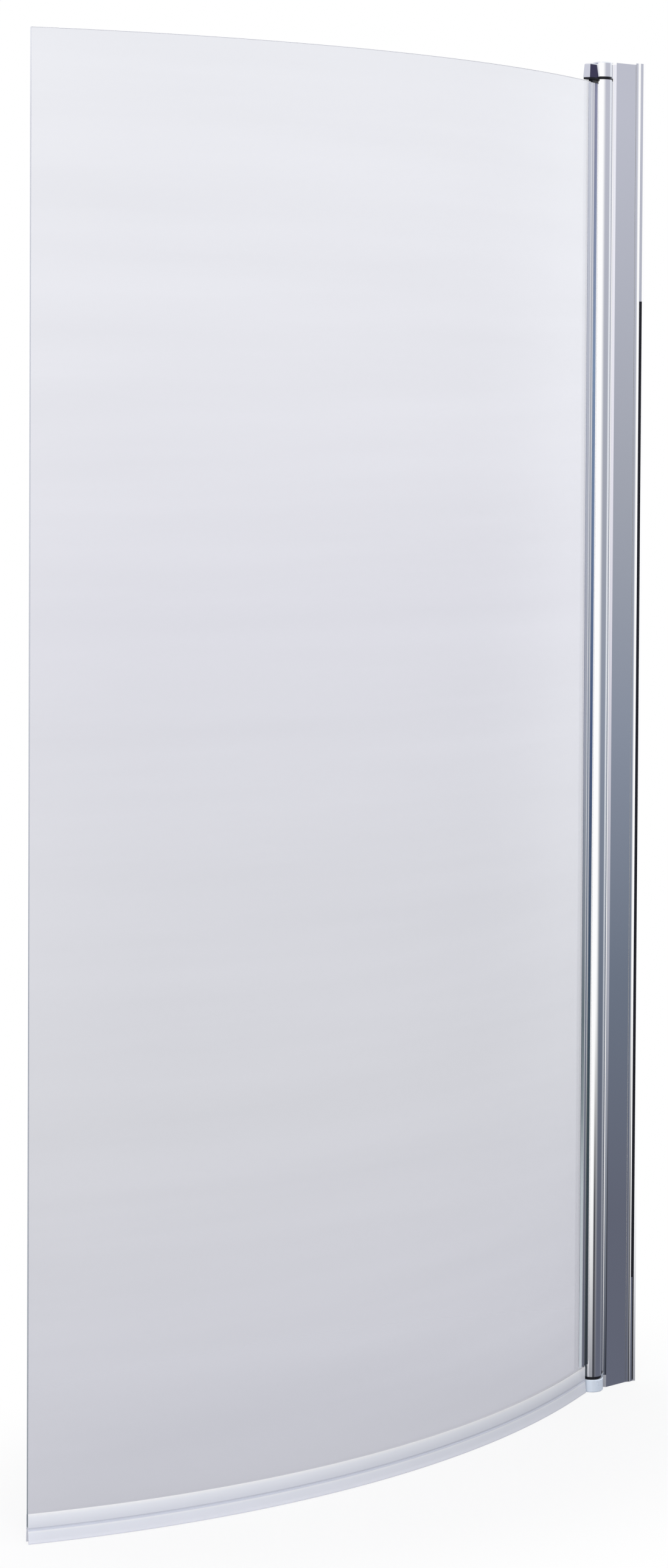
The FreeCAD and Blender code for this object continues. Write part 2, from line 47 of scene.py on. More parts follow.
# ---- places shared with the solids, in millimetres ----
axis_x = -58.3                  # pivot axis
axis_y = -6.3
carrier = math.radians(22.0)    # the glass leaves the axis this far from -X towards the room
glass_offset = -2.3             # room face of the glass beside the axis, positive to the room
projection = 800.0              # wall to the free edge of the glass
flat_strip = 45.3               # the bend starts here, from the axis
glass_edge = 13.7               # hinge edge of the glass, from the axis
glass_low = 14.5
glass_high = 1376.5
glass_thick = 5.0
glass_arris = 0.15              # bevel of its ground edges
tube_radius = 11.0
tube_bore = 9.0
tube_low = 16.1
tube_high = 1379.5
leg_out = 1.2                   # outer face of a channel leg, from the face of the glass
leg_in = 0.3                    # and its inner face
mouth = 22.5                    # free edge of the legs, from the axis
pocket_floor = 12.7
leg_tip = 0.5                   # rounding of the legs' free edges
root_round = 2.0                # fillet between the tube and the bath-side leg
shade_sheet_on_leg = 15.6             # the painted-shade sheet ends here on the leg, from the axis
shade_sheet_on_tube = 2.0             # and here on the tube, in degrees
channel_low = 29.0
channel_high = 1375.5
straight_steps = 2              # divisions of the flat strip of glass
bend_steps = 132                # and of its bend

along = Vector((-math.cos(carrier), -math.sin(carrier)))
toward_room = Vector((math.sin(carrier), -math.cos(carrier)))
axis = Vector((axis_x, axis_y))
bend_start = axis + along * flat_strip + toward_room * glass_offset
bend_chord = projection + bend_start.x
bend_radius = bend_chord / (2 * math.sin(carrier))
bend_centre = bend_start - toward_room * bend_radius
bend_sweep = 2 * carrier


# ---- mesh helpers ----
def add_mesh(name, verts, faces, sharp_degrees=35.0):
    """A mesh object from millimetres, smooth except across edges sharper than the given angle."""
    data = bpy.data.meshes.new(name)
    data.from_pydata([(x * MM, y * MM, z * MM) for x, y, z in verts], [], faces)
    bm = bmesh.new()
    bm.from_mesh(data)
    bmesh.ops.remove_doubles(bm, verts=bm.verts, dist=1e-7)
    bmesh.ops.recalc_face_normals(bm, faces=bm.faces)
    for face in bm.faces:
        face.smooth = True
    for edge in bm.edges:
        if len(edge.link_faces) == 2:
            edge.smooth = edge.calc_face_angle() < math.radians(sharp_degrees)
    bm.to_mesh(data)
    bm.free()
    obj = bpy.data.objects.new(name, data)
    bpy.context.scene.collection.objects.link(obj)
    return obj


def arc_points(centre, radius, start, end, steps):
    """Points along an arc between two angles in degrees, both ends kept."""
    found = []
    for i in range(steps + 1):
        angle = math.radians(start + (end - start) * i / steps)
        found.append((centre[0] + radius * math.cos(angle), centre[1] + radius * math.sin(angle)))
    return found


def glass_xy(u, n):
    """Plan point from a distance along the glass and one out of its room face."""
    point = axis + along * u + toward_room * (n + glass_offset)
    return point.x, point.y


def swept(name, section, u_start):
    """A closed (sideways, height) section swept straight from u_start and then round the bend."""
    rings = []
    for i in range(straight_steps):
        u = u_start + (flat_strip - u_start) * i / straight_steps
        rings.append([(*glass_xy(u, n), z) for n, z in section])
    for i in range(bend_steps + 1):
        angle = -bend_sweep * i / bend_steps
        turn = Matrix.Rotation(angle, 2)
        ring = []
        for n, z in section:
            point = bend_centre + turn @ (bend_start + toward_room * n - bend_centre)
            ring.append((point.x, point.y, z))
        rings.append(ring)
    count = len(section)
    verts = [v for ring in rings for v in ring]
    faces = []
    for r in range(len(rings) - 1):
        for k in range(count):
            a, b = r * count + k, r * count + (k + 1) % count
            faces.append((a, b, b + count, a + count))
    faces.append(tuple(range(count)))
    faces.append(tuple(range(len(verts) - count, len(verts))))
    return add_mesh(name, verts, faces)


def extruded(name, outline, z0, z1, hole=None):
    """An upright extrusion of a plan outline, with one hole if asked."""
    verts, faces, base = [], [], 0
    for loop in [outline] + ([hole] if hole else []):
        count = len(loop)
        verts += [(x, y, z0) for x, y in loop] + [(x, y, z1) for x, y in loop]
        faces += [(base + k, base + (k + 1) % count, base + count + (k + 1) % count, base + count + k)
                  for k in range(count)]
        base += 2 * count
    count = len(outline)
    if hole:
        for level in (0, 1):
            for k in range(count):
                a, b = level * count + k, level * count + (k + 1) % count
                faces.append((a, b, b + 2 * count, a + 2 * count))
    else:
        faces += [tuple(range(count)), tuple(range(count, 2 * count))]
    return add_mesh(name, verts, faces)


# ---- materials ----
metal_level = 0.94              # how much the bright metal reflects
noise_low = 0.3                 # nearly all of a noise lies between these
noise_high = 0.7
draw_stretch = (1.0, 1.0, 0.004)    # the draw lines run up the profiles
draw_scale = 2600.0
draw_strength = 0.25
smudge_scale = 14.0
grain_strength = 0.15
grain_depth = 0.00005
streak_stretch = (1.0, 1.0, 14.0)   # the streaks in the glass lie level
full_height = 1.4               # top of the object, in metres
seal_band_top = 0.03            # the seal's colours go by height up to here, in metres


def new_material(name):
    """A material, its tree, its shader and the object's own coordinates as a socket."""
    material = bpy.data.materials.new(name)
    material.use_nodes = True
    tree = material.node_tree
    place = tree.nodes.new("ShaderNodeTexCoord").outputs["Object"]
    return material, tree, tree.nodes["Principled BSDF"], place


def noise_of(tree, vector, scale, detail=2.0):
    """Noise over a vector, as a socket."""
    node = tree.nodes.new("ShaderNodeTexNoise")
    node.inputs["Scale"].default_value = scale
    node.inputs["Detail"].default_value = detail
    tree.links.new(vector, node.inputs["Vector"])
    return node.outputs["Fac"]


def stretched(tree, vector, scale, location=(0.0, 0.0, 0.0)):
    """A vector scaled along its axes and then shifted, as a socket."""
    node = tree.nodes.new("ShaderNodeMapping")
    node.inputs["Location"].default_value = location
    node.inputs["Scale"].default_value = scale
    tree.links.new(vector, node.inputs["Vector"])
    return node.outputs["Vector"]


def ranged(tree, value, from_low, from_high, to_low, to_high, interpolation="LINEAR"):
    """A value taken from one range to another and held at its ends, as a socket."""
    node = tree.nodes.new("ShaderNodeMapRange")
    node.interpolation_type = interpolation
    node.inputs["From Min"].default_value = from_low
    node.inputs["From Max"].default_value = from_high
    node.inputs["To Min"].default_value = to_low
    node.inputs["To Max"].default_value = to_high
    tree.links.new(value, node.inputs["Value"])
    return node.outputs["Result"]


def ramp_of(tree, value, stops):
    """Colours from (position, colour) stops, as a socket."""
    node = tree.nodes.new("ShaderNodeValToRGB")
    ramp = node.color_ramp
    while len(ramp.elements) > 1:
        ramp.elements.remove(ramp.elements[-1])
    for i, (position, colour) in enumerate(stops):
        element = ramp.elements[0] if i == 0 else ramp.elements.new(position)
        element.position = position
        element.color = (*colour[:3], 1)
    tree.links.new(value, node.inputs["Fac"])
    return node.outputs["Color"]


def painted_by_height(tree, place, stops, full=full_height):
    """Painted light and shade: colours by height above the rim, in metres up to the full height, as a socket.
    """
    split = tree.nodes.new("ShaderNodeSeparateXYZ")
    tree.links.new(place, split.inputs["Vector"])
    height = ranged(tree, split.outputs["Z"], 0.0, full, 0.0, 1.0)
    return ramp_of(tree, height, [(level / full, colour) for level, colour in stops])


def multiplied(tree, first, second):
    """The product of two colours, as a socket."""
    node = tree.nodes.new("ShaderNodeMixRGB")
    node.blend_type = "MULTIPLY"
    node.inputs["Fac"].default_value = 1.0
    tree.links.new(first, node.inputs["Color1"])
    tree.links.new(second, node.inputs["Color2"])
    return node.outputs["Color"]


def add_bump(tree, shader, height, strength, distance):
    node = tree.nodes.new("ShaderNodeBump")
    node.inputs["Strength"].default_value = strength
    node.inputs["Distance"].default_value = distance
    tree.links.new(height, node.inputs["Height"])
    tree.links.new(node.outputs["Normal"], shader.inputs["Normal"])


def brushed(name, roughness, line_depth, colour=(metal_level,) * 3, painted_tones=None, metallic=1.0):
    """Bright extruded metal with fine draw lines along its length and faint smudges.

    Its colour is even, or carries painted light and shade by height where painted tones are given.
    """
    material, tree, shader, place = new_material(name)
    shader.inputs["Metallic"].default_value = metallic
    if painted_tones:
        tree.links.new(painted_by_height(tree, place, painted_tones), shader.inputs["Base Color"])
    else:
        shader.inputs["Base Color"].default_value = (*colour, 1)
    lines = noise_of(tree, stretched(tree, place, draw_stretch), draw_scale, 3.0)
    smudge = noise_of(tree, place, smudge_scale, 4.0)
    rough = ranged(tree, smudge, noise_low, noise_high, roughness * 0.75, roughness * 1.35)
    tree.links.new(rough, shader.inputs["Roughness"])
    add_bump(tree, shader, lines, draw_strength, line_depth)
    return material


def plastic(name, roughness, grain, colour=(1.0, 1.0, 1.0), gloss=0.5, painted_tones=None):
    """Moulded plastic or rubber with a fine grain, in one colour or with painted light and shade by height."""
    material, tree, shader, place = new_material(name)
    shader.inputs["Specular IOR Level"].default_value = gloss
    shader.inputs["Roughness"].default_value = roughness
    noise = noise_of(tree, place, grain, 3.0)
    if painted_tones:
        mottle = ramp_of(tree, noise, ((0.0, (0.85, 0.85, 0.85)), (1.0, (1.0, 1.0, 1.0))))
        base = multiplied(tree, mottle, painted_by_height(tree, place, painted_tones))
    else:
        darker = [level * 0.85 for level in colour]
        lighter = [min(1.0, level * 1.12) for level in colour]
        base = ramp_of(tree, noise, ((0.0, darker), (1.0, lighter)))
    tree.links.new(base, shader.inputs["Base Color"])
    add_bump(tree, shader, noise, grain_strength, grain_depth)
    return material


def clear_glass():
    """Clear toughened glass with a cool tint and faint level streaks, darker towards the foot as painted shade.
    """
    material, tree, shader, place = new_material("clear_glass_look")
    shader.inputs["Transmission Weight"].default_value = 1.0
    shader.inputs["IOR"].default_value = 1.5
    shader.inputs["Roughness"].default_value = 0.0
    tint_and_painted_shade = ((0.14, (0.630, 0.633, 0.690)),
             (0.38, (0.675, 0.679, 0.723)),
             (0.61, (0.709, 0.712, 0.761)),
             (0.84, (0.744, 0.744, 0.804)),
             (1.08, (0.806, 0.809, 0.860)),
             (1.31, (0.838, 0.844, 0.888)),
             (1.38, (0.844, 0.852, 0.894)))
    streak = noise_of(tree, stretched(tree, place, streak_stretch), 1.6, 4.0)
    depth = ranged(tree, streak, noise_low, noise_high, 0.980, 1.015)
    tree.links.new(multiplied(tree, painted_by_height(tree, place, tint_and_painted_shade), depth), shader.inputs["Base Color"])
    return material


def ground_edge():
    """The ground and polished edge of the glass, with painted shade: dark towards the foot and paler towards
    the top.
    """
    material, tree, shader, place = new_material("glass_edge_look")
    shader.inputs["Transmission Weight"].default_value = 0.25
    shader.inputs["IOR"].default_value = 1.2
    painted_tones = ((0.02, (0.20, 0.24, 0.27)),
             (0.35, (0.33, 0.36, 0.42)),
             (0.90, (0.52, 0.54, 0.60)),
             (1.30, (0.62, 0.63, 0.69)),
             (1.37, (0.78, 0.79, 0.84)))
    tree.links.new(painted_by_height(tree, place, painted_tones), shader.inputs["Base Color"])
    rough = ranged(tree, noise_of(tree, place, 400.0), 0.0, 1.0, 0.25, 0.45)
    tree.links.new(rough, shader.inputs["Roughness"])
    return material


def clear_seal():
    """Clear soft PVC, slightly milky, banded by height with painted light: painted shade at the foot and in the
    groove at the web, a painted highlight line below that groove, paler towards the top, and painted shade a
    little deeper towards the hinge.
    """
    material, tree, shader, place = new_material("clear_seal_look")
    shader.inputs["Transmission Weight"].default_value = 0.30
    shader.inputs["IOR"].default_value = 1.30
    painted_bands = ((0.0000, (0.68, 0.68, 0.77)),
             (0.0010, (0.85, 0.86, 0.92)),
             (0.0095, (0.87, 0.885, 0.94)),
             (0.0112, (0.96, 0.965, 0.99)),
             (0.0120, (0.74, 0.76, 0.85)),
             (0.0142, (0.74, 0.76, 0.85)),
             (0.0152, (0.83, 0.845, 0.91)),
             (0.0240, (0.90, 0.915, 0.96)),
             (0.0268, (0.99, 0.99, 1.0)))
    split = tree.nodes.new("ShaderNodeSeparateXYZ")
    tree.links.new(place, split.inputs["Vector"])
    painted_hinge_shade = ranged(tree, split.outputs["X"], -0.75, -0.10, 1.0, 0.90, "SMOOTHSTEP")
    banded = painted_by_height(tree, place, painted_bands, full=seal_band_top)
    tree.links.new(multiplied(tree, banded, painted_hinge_shade), shader.inputs["Base Color"])
    rough = ranged(tree, noise_of(tree, place, 60.0), 0.0, 1.0, 0.10, 0.22)
    tree.links.new(rough, shader.inputs["Roughness"])
    return material


bright = brushed("bright_aluminium_look", 0.05, 0.000004)
chrome = brushed("chrome_look", 0.03, 0.000002)
steel = brushed("steel_look", 0.25, 0.00002, colour=(0.60, 0.60, 0.62))
# painted reflection: the pale bluish colour of the bottom bracket stands in for the pale rim mirrored in its
# chrome
# partly metallic, because a full mirror shows the dark side of the studio where the photo is pale
casting_painted_reflection = brushed("casting_painted_reflection_look", 0.30, 0.000002, colour=(0.80, 0.87, 0.96), metallic=0.35)
black = plastic("black_look", 0.38, 900.0, colour=(0.010, 0.010, 0.014), gloss=0.2)
white_nylon = plastic("white_nylon_look", 0.45, 700.0, colour=(0.78, 0.78, 0.76))
grey_cap = plastic("grey_cap_look", 0.30, 700.0, colour=(0.62, 0.62, 0.66))
# painted light and shade: the gasket lip's colour goes by height, pale near the foot and the top and darkest
# about 0.4 m up
grey_rubber = plastic("grey_rubber_look", 0.55, 1200.0,
                      painted_tones=((0.05, (0.62, 0.67, 0.71)),
                             (0.22, (0.52, 0.58, 0.60)),
                             (0.30, (0.24, 0.29, 0.31)),
                             (0.40, (0.13, 0.17, 0.19)),
                             (0.70, (0.34, 0.36, 0.43)),
                             (1.36, (0.58, 0.60, 0.67))))
# painted shade and a painted dark reflection for the sheet in the corner by the tube: near black at the foot,
# bluish grey towards the top
painted_corner_shade = plastic("painted_corner_shade_look", 0.22, 500.0,
                 painted_tones=((0.05, (0.030, 0.040, 0.052)),
                        (0.31, (0.035, 0.065, 0.080)),
                        (0.70, (0.050, 0.090, 0.205)),
                        (1.08, (0.20, 0.28, 0.42)),
                        (1.34, (0.24, 0.25, 0.36))))
# painted shade: the lip's colour is dark at the foot and pales towards the top
lip_metal_painted_shade = brushed("lip_painted_shade_look", 0.05, 0.000004,
                    painted_tones=((0.05, (0.20, 0.22, 0.26)),
                           (0.24, (0.24, 0.26, 0.31)),
                           (0.50, (0.42, 0.43, 0.49)),
                           (0.75, (0.64, 0.63, 0.70)),
                           (1.00, (0.75, 0.74, 0.81)),
                           (1.30, (0.80, 0.80, 0.86))))

looks = {
    "bright_profile": bright,
    "bright_cover": bright,
    "bright_casting": chrome,
    "black_bracket": black,
    "black_nylon": black,
    "white_nylon": white_nylon,
    "steel_pivot": steel,
    "steel_fixing": steel,
    "grey_cap": grey_cap,
    "grey_seal": grey_rubber,
    "clear_glass": clear_glass(),
    "clear_seal": clear_seal(),
}
for entry in frame["record"]["subparts"]:
    nodes[entry["node"]].material_slots[0].material = looks[entry["material_slot"]]
nodes["bottom_hinge_bracket"].material_slots[0].material = casting_painted_reflection


def dress(piece, body, slot, look=None):
    """Gives a new piece its look and its body; the look is the slot's own if none is named."""
    piece.data.materials.append(look or looks[slot])
    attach(piece, body)
    return piece


# ---- glass panel ----
bath_face = -glass_thick
glass_section = [
    (-glass_arris, glass_low), (0, glass_low + glass_arris),
    (0, glass_high - glass_arris), (-glass_arris, glass_high),
    (bath_face + glass_arris, glass_high), (bath_face, glass_high - glass_arris),
    (bath_face, glass_low + glass_arris), (bath_face + glass_arris, glass_low),
]
panel = dress(swept("glass_pane", glass_section, glass_edge), "screen", "clear_glass")
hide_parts("glass_panel")
panel.data.materials.append(ground_edge())
for face in panel.data.polygons:
    middle_z = face.center.z / MM
    is_end = len(face.vertices) > 4
    if is_end or middle_z > glass_high - glass_arris or middle_z < glass_low + glass_arris:
        face.material_index = 1

# ---- seal ----
seal_from = 14.3                # its hinge end, from the axis
seal_leg = 1.3
seal_top = glass_low + 13.0
seal_web = glass_low - 1.3
bath_top = seal_top - 2.0       # lower than the room side, where the glass would show it as a dark line
fin_splay = 1.6
fin_tip = 0.9
fin_root = 1.2
fin_start = 0.25                # the room fin begins this far outside the leg
fin_end = 0.05                  # the fins stop just above the rim
lead = 0.5                      # bevels at the tops of the legs
lead_across = 0.3
notch_high = seal_web + 1.2     # groove along the room side, at the web
notch_low = seal_web - 0.8
notch_deep = 0.45
notch_slope = 0.4
notch_lean = 0.1
bath_leg = bath_face - seal_leg
seal_section = [
    (0, seal_top - lead), (lead, seal_top), (seal_leg - lead_across, seal_top), (seal_leg, seal_top - lead),
    (seal_leg, notch_high), (seal_leg - notch_deep, notch_high - notch_slope),
    (seal_leg - notch_deep + notch_lean, notch_low + notch_slope), (seal_leg + fin_start, notch_low),
    (fin_splay + fin_tip, fin_end), (fin_splay, fin_end),
    (seal_leg - fin_root, seal_web), (bath_leg + fin_root, seal_web),
    (bath_face - fin_splay, fin_end), (bath_face - fin_splay - fin_tip, fin_end), (bath_leg, seal_web),
    (bath_leg, bath_top - lead), (bath_leg + lead_across, bath_top), (bath_face - lead, bath_top),
    (bath_face, bath_top - lead), (bath_face, glass_low), (0, glass_low),
]
seal = dress(swept("seal_strip", seal_section, seal_from), "screen", "clear_seal")
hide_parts("bottom_seal")

# ---- pivot tube and glass channel ----
tube_sides = 120


def tube_circle(radius):
    return arc_points((axis_x, axis_y), radius, 0, 360 - 360 / tube_sides, tube_sides - 1)


tube = dress(extruded("pivot_tube", tube_circle(tube_radius), tube_low, tube_high, tube_circle(tube_bore)),
             "screen", "bright_profile")
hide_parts("pivot_profile")


def placed(points):
    """Plan points from (along, towards room) points about the pivot axis."""
    return [(axis + along * u + toward_room * n)[:] for u, n in points]


def root_fillet(n, side):
    """Fillet from the tube to a leg's outer face; n is that face's distance beside the axis."""
    centre_n = n + side * root_round
    centre_u = math.sqrt((tube_radius + root_round) ** 2 - centre_n ** 2)
    on_leg = -90.0 * side
    on_tube = math.degrees(math.atan2(-centre_n, -centre_u))
    turn = (on_leg - on_tube + 180) % 360 - 180
    return arc_points((centre_u, centre_n), root_round, on_tube, on_tube + turn, 8)


def channel_outline():
    """Plan of the glass channel, closed inside the wall of the tube; only the bath side has a fillet."""
    n_room, n_bath = leg_out + glass_offset, glass_offset - glass_thick - leg_out
    inside_room, inside_bath = leg_in + glass_offset, glass_offset - glass_thick - leg_in
    points = [(math.sqrt(tube_radius ** 2 - n_room ** 2), n_room)]
    points += arc_points((mouth - leg_tip, n_room - leg_tip), leg_tip, 90, 0, 4)
    points += [(mouth, inside_room), (pocket_floor, inside_room)]
    points += [(pocket_floor, inside_bath), (mouth, inside_bath)]
    points += arc_points((mouth - leg_tip, n_bath + leg_tip), leg_tip, 0, -90, 4)
    points += list(reversed(root_fillet(n_bath, -1)))
    inner = (tube_radius + tube_bore) / 2
    first = math.degrees(math.atan2(points[-1][1], points[-1][0]))
    last = math.degrees(math.atan2(points[0][1], points[0][0]))
    points += arc_points((0, 0), inner, first, last, 8)
    return placed(points)


dress(extruded("glass_channel", channel_outline(), channel_low, channel_high),
      "screen", "bright_profile")

# dark sheet in the corner between the tube and the room-side leg: painted shade and a painted dark reflection,
# near black at the foot
leg_face = leg_out + glass_offset
shade_sheet_proud = 0.12
shade_sheet_sunk = 0.3
shade_sheet_corner = 12.2             # its inner corner, from the axis
shade_sheet_round = 1.0
shade_sheet_hidden = -8.0             # its end under the leg, in degrees round the tube
shade_sheet_short = 0.2               # it stops this far under the top of the channel
shade_sheet_end = math.radians(shade_sheet_on_tube)
shade_sheet_outline = [(shade_sheet_on_leg, leg_face - shade_sheet_sunk), (shade_sheet_on_leg, leg_face + shade_sheet_proud)]
shade_sheet_outline += arc_points((shade_sheet_corner, leg_face + shade_sheet_proud + shade_sheet_round), shade_sheet_round, -90, -180, 5)
shade_sheet_outline += [(tube_radius * math.cos(shade_sheet_end), tube_radius * math.sin(shade_sheet_end))]
shade_sheet_outline += arc_points((0, 0), tube_radius - shade_sheet_sunk, shade_sheet_on_tube, shade_sheet_hidden, 6)
shade_sheet_outline.append((shade_sheet_corner, leg_face - shade_sheet_sunk))
dress(extruded("channel_shade_sheet", placed(shade_sheet_outline), channel_low, channel_high - shade_sheet_short),
      "screen", "black_nylon", painted_corner_shade)

# lip of the glazing gasket: (past the mouth of the channel, out of the room face of the glass)
gasket_profile = ((-0.6, 0), (-0.6, leg_out - 0.35), (0.6, leg_out - 0.4),
                  (2.2, 0.62), (4.2, 0.30), (5.2, 0.12), (5.3, 0))
dress(extruded("gasket_lip", [glass_xy(mouth + u, n) for u, n in gasket_profile],
               channel_low, channel_high), "screen", "grey_seal")

# black sheet under the wing of the cap, painted shade on its underside: (from the axis, out of the room face of
# the glass)
wing_low = 1380.5
shadow_sheet_thick = 2.0
shadow_sheet_profile = ((11.5, -6.2), (27.7, -6.2), (27.7, 0.9), (19.0, 4.8), (11.5, 4.8))
dress(extruded("wing_shadow_sheet", [glass_xy(u, n) for u, n in shadow_sheet_profile], wing_low - shadow_sheet_thick, wing_low),
      "screen", "black_nylon")

# ---- wall channel with its flared room flange, groove strip and rim; it has no wall holes ----
rail_tip = -11.3
rail_inner = 11.2
rail_web = -2.0
rail_back = 13.2
rail_height = 1400.0
flare_start = -11.3
flare_radius = 6.0
flare_turn = 50                 # degrees
flare_step = 5
curl_radius = 0.25              # round end of the flare
curl_x = 0.12
curl_y = 0.22
curl_start = -130               # degrees
rail_bevel = 0.5
groove_from = -6.4
groove_start = groove_from + 0.1
groove_to = -1.6
groove_level = -12.5
groove_shoulder = 0.2
rim_front = -14.3
flare = []
for degrees in range(0, flare_turn + 1, flare_step):
    angle = math.radians(degrees)
    flare.append((rail_tip + flare_radius * math.sin(angle),
                  flare_start - flare_radius * (1 - math.cos(angle))))
crest_x, crest_y = flare[-1]
rail_outline = [(rail_web, rail_inner), (rail_web, -rail_inner), (rail_tip, -rail_inner)] + flare
rail_outline += arc_points((crest_x + curl_x, crest_y + curl_y), curl_radius, curl_start, 0, 5)
rail_outline += [(groove_start, groove_level), (groove_to, groove_level),
                 (groove_to, groove_level - groove_shoulder), (0, rim_front), (0, rail_back),
                 (rail_tip + rail_bevel, rail_back), (rail_tip, rail_back - rail_bevel), (rail_tip, rail_inner)]
rail = dress(extruded("wall_rail", rail_outline, 0.0, rail_height), "wall_post", "bright_profile")
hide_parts("wall_channel")

strip_low = 112.0
strip_high = 1150.0
strip_tail_low = 1.5
strip_tail_from = -2.9
strip_side = 0.35               # its sides stand this far proud of the groove
strip_top = 0.40                # and its crown begins here
strip_crown = 0.12
strip_sunk = 0.1
strip_steps = 6
strip_clear = 0.05              # to the side of the rim


def strip_outline(left):
    """Section of the groove strip from its left edge to the side of the rim."""
    end = groove_to - strip_clear
    points = [(left, groove_level + strip_sunk), (left, groove_level - strip_side)]
    for i in range(1, strip_steps):
        crown = strip_crown * math.sin(math.pi * i / strip_steps)
        points.append((left + (groove_to - left) * i / strip_steps, groove_level - strip_top - crown))
    return points + [(end, groove_level - strip_side), (end, groove_level + strip_sunk)]


dress(extruded("groove_strip", strip_outline(groove_start), strip_low, strip_high),
      "wall_post", "black_nylon")
dress(extruded("groove_strip_tail", strip_outline(strip_tail_from), strip_tail_low, strip_low),
      "wall_post", "black_nylon")

# ---- button-head screws of the two brackets, on the bath side ----
screw_x = -37.3
screw_seat = 11.0
screw_levels = (16.0, 28.0, 1360.2, 1372.2)
screw_profile = ((1.75, -9.0), (1.75, 0.0), (3.2, 0.0), (3.2, 0.9),       # (radius, out of the seat)
                 (3.05, 1.35), (2.7, 1.7), (2.25, 1.92), (1.9, 2.0))
screw_sides = 36
screw_step = 360 // screw_sides
key_flat = 1.25                 # middle of the key recess to its flats
key_top = 2.0
key_floor = 0.75


def screw_mesh():
    """Vertices and faces of all the screws, each a shank, a domed head and a hexagonal key recess."""
    verts, faces = [], []
    hexagon = [key_flat / math.cos((math.radians(i * screw_step) % math.radians(60)) - math.radians(30))
               for i in range(screw_sides)]
    rings = [[(radius, height)] * screw_sides for radius, height in screw_profile]
    rings += [[(radius, height) for radius in hexagon] for height in (key_top, key_floor)]
    for z in screw_levels:
        base = len(verts)
        for ring in rings:
            for i, (radius, height) in enumerate(ring):
                angle = math.radians(i * screw_step)
                verts.append((screw_x + radius * math.cos(angle), screw_seat + height,
                              z + radius * math.sin(angle)))
        for r in range(len(rings) - 1):
            for i in range(screw_sides):
                first = base + r * screw_sides + i
                second = base + r * screw_sides + (i + 1) % screw_sides
                faces.append((first, second, second + screw_sides, first + screw_sides))
        faces.append(tuple(base + i for i in range(screw_sides)))
        faces.append(tuple(base + (len(rings) - 1) * screw_sides + i for i in range(screw_sides)))
    return verts, faces


screws = dress(add_mesh("bracket_screw_set", *screw_mesh(), sharp_degrees=30.0), "wall_post", "steel_fixing")
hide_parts("bracket_screws")

# ---- lip of the post beside the tube ----
lip_low = 13.0
lip_high = 1396.5
lip_outline = [(-42.3, -8.4), (-42.95, -9.05), (-43.0, -9.16), (-42.93, -9.30), (-40.6, -11.0), (-40.6, -10.0)]
dress(extruded("post_lip", lip_outline, lip_low, lip_high), "wall_post", "bright_profile", lip_metal_painted_shade)

# ---- stage ----
def flat_card(name, x0, y0, x1, y1, z):
    """A level rectangle in metres that isn't part of the object."""
    data = bpy.data.meshes.new(name)
    data.from_pydata([(x0, y0, z), (x1, y0, z), (x1, y1, z), (x0, y1, z)], [], [(0, 1, 2, 3)])
    obj = bpy.data.objects.new(name, data)
    bpy.context.scene.collection.objects.link(obj)
    return obj


def ray_is(tree, *kinds):
    """The largest of several ray flags."""
    path = tree.nodes.new("ShaderNodeLightPath")
    result = path.outputs[kinds[0]]
    for kind in kinds[1:]:
        join = tree.nodes.new("ShaderNodeMath")
        join.operation = "MAXIMUM"
        tree.links.new(result, join.inputs[0])
        tree.links.new(path.outputs[kind], join.inputs[1])
        result = join.outputs[0]
    return result


floor_half = 4.0
floor_drop = 0.0004
shadow_scale = (0.55, 1.0, 1.0)     # the part that takes the shadow is long in X
shadow_shift = (0.22, 0.05, 0)
shadow_near = 0.16                  # it fades out between these distances
shadow_far = 0.42
least_glow = 0.8
floor = flat_card("floor", -floor_half, -floor_half, floor_half, floor_half, -floor_drop)
floor.visible_glossy = False
floor_look = bpy.data.materials.new("floor_look")
floor_look.use_nodes = True
tree = floor_look.node_tree
tree.nodes.clear()
out = tree.nodes.new("ShaderNodeOutputMaterial")
matt = tree.nodes.new("ShaderNodeBsdfDiffuse")
matt.inputs["Color"].default_value = (0.80, 0.80, 0.80, 1)
glow = tree.nodes.new("ShaderNodeEmission")
blend = tree.nodes.new("ShaderNodeMixShader")
# near the object a part of the floor is matt and takes its shadow, and further off it glows white
floor_place = tree.nodes.new("ShaderNodeTexCoord").outputs["Object"]
reach = tree.nodes.new("ShaderNodeVectorMath")
reach.operation = "LENGTH"
tree.links.new(stretched(tree, floor_place, shadow_scale, location=shadow_shift), reach.inputs[0])
glowing = ranged(tree, reach.outputs["Value"], shadow_near, shadow_far, least_glow, 1.0, "SMOOTHSTEP")
seen = tree.nodes.new("ShaderNodeMath")
seen.operation = "MULTIPLY"
tree.links.new(glowing, seen.inputs[1])
tree.links.new(ray_is(tree, "Is Camera Ray", "Is Transmission Ray"), seen.inputs[0])
tree.links.new(seen.outputs[0], blend.inputs["Fac"])
tree.links.new(matt.outputs[0], blend.inputs[1])
tree.links.new(glow.outputs[0], blend.inputs[2])
tree.links.new(blend.outputs[0], out.inputs["Surface"])
floor.data.materials.append(floor_look)

# ---- world: what bare metal sees round the studio ----
room_yaw = math.radians(45.3)
back = Vector((-math.sin(room_yaw), -math.cos(room_yaw), 0))
right = Vector((math.cos(room_yaw), -math.sin(room_yaw), 0))


def shade(red, green, blue):
    """Linear light that reads as the given display colour, 0 to 255, in bright metal."""
    found = []
    for level in (red, green, blue):
        s = level / 255
        found.append((s / 12.92 if s <= 0.04045 else ((s + 0.055) / 1.055) ** 2.4) / metal_level)
    return (*found, 1)


world = bpy.data.worlds.new("studio")
bpy.context.scene.world = world
world.use_nodes = True
sky_tree = world.node_tree
sky_tree.nodes.clear()
direction = sky_tree.nodes.new("ShaderNodeTexCoord").outputs["Generated"]


